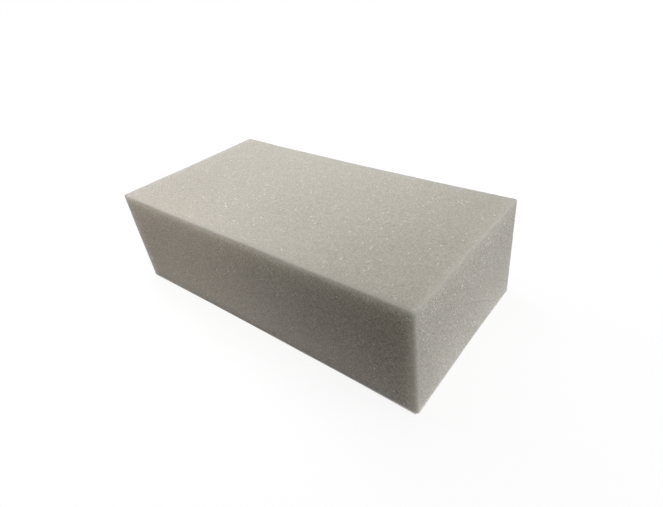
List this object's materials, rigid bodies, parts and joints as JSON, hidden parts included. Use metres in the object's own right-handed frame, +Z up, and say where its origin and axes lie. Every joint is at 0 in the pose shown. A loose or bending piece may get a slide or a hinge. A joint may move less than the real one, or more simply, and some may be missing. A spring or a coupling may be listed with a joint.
{
  "type": "piercing sponge",
  "caption": "Rectangular block of soft grey open-cell foam that lies on the bench and backs the work while a needle or awl is pushed through it.",
  "frame": {"origin": "middle of the flat resting face, on the surface that the block lies on", "axes": "+X along the block's length, +Y across it, +Z up through its thickness"},
  "size_m": [0.17, 0.085, 0.05],
  "materials": {
    "foam": "matte"
  },
  "bodies": {
    "root": {"foam_block": "foam"}
  },
  "joints": []
}
